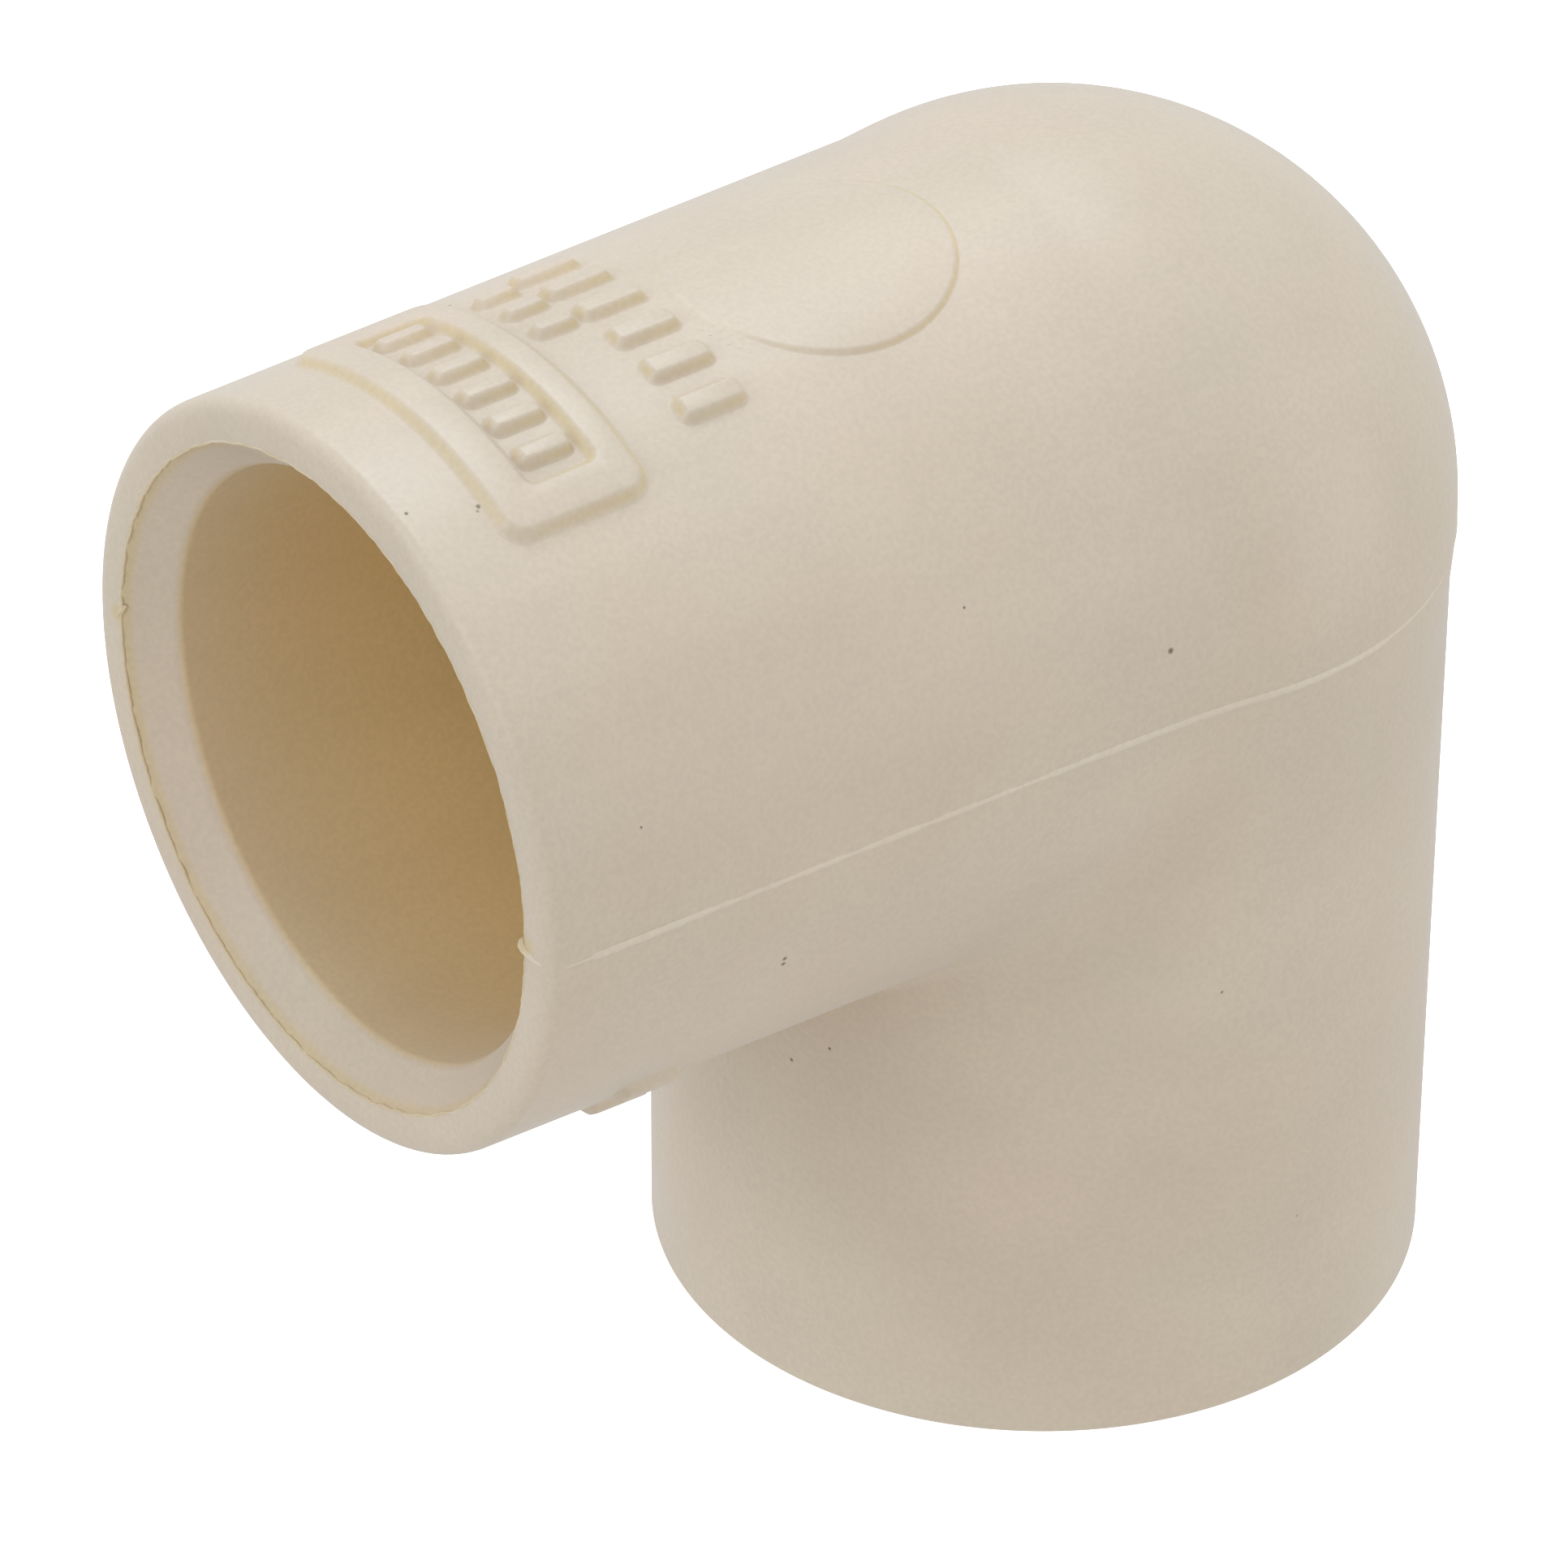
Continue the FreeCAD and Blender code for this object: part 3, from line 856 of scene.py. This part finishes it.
def makeLip():
    middle = Vector((sideMouth + lip["depth"], 0, crossing.z))
    path = []
    for i in range(lip["steps"]):
        turn = 2 * math.pi * i / lip["steps"]
        out = Vector((0, math.sin(turn), math.cos(turn)))
        place = out * lip["radius"]
        jag = wobble(place, lip["jagSize"]) + lip["fineShare"] * wobble(place, lip["fineSize"])
        path.append(middle + out * (lip["radius"] + lip["jag"] * jag))
    thickness = lambda p: lip["thickness"] * (1 + lip["uneven"] * wobble(p, lip["jagSize"]))
    feather = makeThread("sideLip", path, thickness, closed=True)
    done(joinUp([feather]), ["side_lip"], throughLitIvory)


makeLip()

# Each burr is a ridge across the rim, in millimetres: distance from the mouth, distance out from
# the axis, height above it and thickness.
burr = {
    "near": [(0.20, 8.68, 0.12, 0.050), (0.12, 8.76, 0.10, 0.125), (0.06, 8.86, 0.06, 0.150),
             (0.02, 9.00, 0.00, 0.125), (0.02, 9.20, -0.05, 0.094), (0.02, 9.42, -0.07, 0.073),
             (0.03, 9.66, -0.05, 0.058), (0.10, 9.88, -0.02, 0.050), (0.23, 10.06, 0.00, 0.048),
             (0.46, 10.16, 0.00, 0.048), (0.80, 10.17, 0.00, 0.050), (1.15, 10.17, 0.00, 0.063)],
    "far": [(0.10, 8.90, 0.30, 0.038), (0.08, 8.96, 0.22, 0.078), (0.07, 9.03, 0.10, 0.106),
            (0.05, 9.12, -0.04, 0.100), (0.05, 9.22, -0.18, 0.075), (0.05, 9.32, -0.32, 0.038)],
}


def makeBurrs():
    pieces = []
    for name, side in (("near", -1), ("far", 1)):
        knots = burr[name]
        path = [Vector((sideMouth + s * mm, side * out * mm, crossing.z + up * mm))
                for s, out, up, _ in knots]

        def thickness(point):
            nearest = min(range(len(path)), key=lambda i: (path[i] - point).length)
            return knots[nearest][3]

        pieces.append(makeThread(name + "Burr", path, thickness))
    burrs = joinUp(pieces)
    burrs.name = burrs.data.name = "rimBurrs"
    done(burrs, ["rim_burrs"], throughLitIvory)


makeBurrs()

studio = {
    "cameraPlace": (-229.734, -301.895, 257.399),   # millimetres from the crossing
    "azimuth": -36.241,
    "elevation": 35.129,
    "roll": 0.849,
    "lens": 405.8,
    "sensor": 36,
    "clip": (0.02, 20),
    "floorSize": 8.0,
    "floorColor": (0.9, 0.9, 0.9),
    "floorGlow": 1.0,
    "surround": (0.77, 0.755, 0.73),   # soft light from all round, a little warm
    "keySize": 0.35,
    "keyPlace": (0.05, 0.17, 0.43),    # above and behind, so the top has a soft sheen
    "keyPower": 1.06,
    "keyColor": (0.76, 0.86, 1.0),
    "leftPlace": (-0.405, 0.0, 0.20),
    "leftPower": 0.46,
    "rightPlace": (0.3375, -0.2925, 0.02),
    "rightPower": 0.34,
    "sideSize": 0.30,
    "sideColor": (0.74, 0.85, 1.0),
}

azimuth, elevation = math.radians(studio["azimuth"]), math.radians(studio["elevation"])
back = Vector((math.sin(azimuth) * math.cos(elevation),
               -math.cos(azimuth) * math.cos(elevation),
               math.sin(elevation)))
clearSelection()
bpy.ops.object.camera_add(location=crossing + Vector(studio["cameraPlace"]) * mm)
camera = bpy.context.object
camera.name = "camera"
camera.rotation_mode = "QUATERNION"
roll = Quaternion((0, 0, 1), math.radians(studio["roll"]))
camera.rotation_quaternion = (-back).to_track_quat("-Z", "Y") @ roll
camera.data.lens = studio["lens"]
camera.data.sensor_width = studio["sensor"]
camera.data.clip_start, camera.data.clip_end = studio["clip"]
bpy.context.scene.camera = camera

clearSelection()
bpy.ops.mesh.primitive_plane_add(size=studio["floorSize"], location=(0, 0, lowerMouth))
floor = bpy.context.object
floor.name = "floor"
floorMaterial = bpy.data.materials.new("paleFloor")
floorMaterial.use_nodes = True
floorShader = floorMaterial.node_tree.nodes["Principled BSDF"]
floorShader.inputs["Base Color"].default_value = (*studio["floorColor"], 1)
floorShader.inputs["Emission Color"].default_value = (1, 1, 1, 1)
floorShader.inputs["Emission Strength"].default_value = studio["floorGlow"]
floor.data.materials.append(floorMaterial)
# the floor only shows: the light that reaches the part from below is the surround's
floor.visible_diffuse = floor.visible_glossy = floor.visible_shadow = False

# the backdrop is white to the camera, and the surround lights the part
world = bpy.data.worlds.new("studio")
world.use_nodes = True
tree = world.node_tree
surround = tree.nodes["Background"]
surround.inputs["Color"].default_value = (*studio["surround"], 1)
white = tree.nodes.new("ShaderNodeBackground")
white.inputs["Color"].default_value = (1, 1, 1, 1)
seen = tree.nodes.new("ShaderNodeLightPath")
either = tree.nodes.new("ShaderNodeMixShader")
tree.links.new(seen.outputs["Is Camera Ray"], either.inputs["Fac"])
tree.links.new(surround.outputs["Background"], either.inputs[1])
tree.links.new(white.outputs["Background"], either.inputs[2])
tree.links.new(either.outputs["Shader"], tree.nodes["World Output"].inputs["Surface"])
bpy.context.scene.world = world


def addLight(name, place, size, power, color):
    clearSelection()
    bpy.ops.object.light_add(type="AREA", location=place)
    light = bpy.context.object
    light.name = name
    light.data.shape = "DISK"
    light.data.size, light.data.energy, light.data.color = size, power, color
    light.visible_camera = False
    light.rotation_mode = "QUATERNION"
    light.rotation_quaternion = (crossing - Vector(place)).to_track_quat("-Z", "Y")


addLight("keyLight", studio["keyPlace"], studio["keySize"], studio["keyPower"], studio["keyColor"])
addLight("leftLight", studio["leftPlace"], studio["sideSize"],
         studio["leftPower"], studio["sideColor"])
addLight("rightLight", studio["rightPlace"], studio["sideSize"],
         studio["rightPower"], studio["sideColor"])
bpy.context.scene.view_settings.view_transform = "Standard"
print("studio ready")
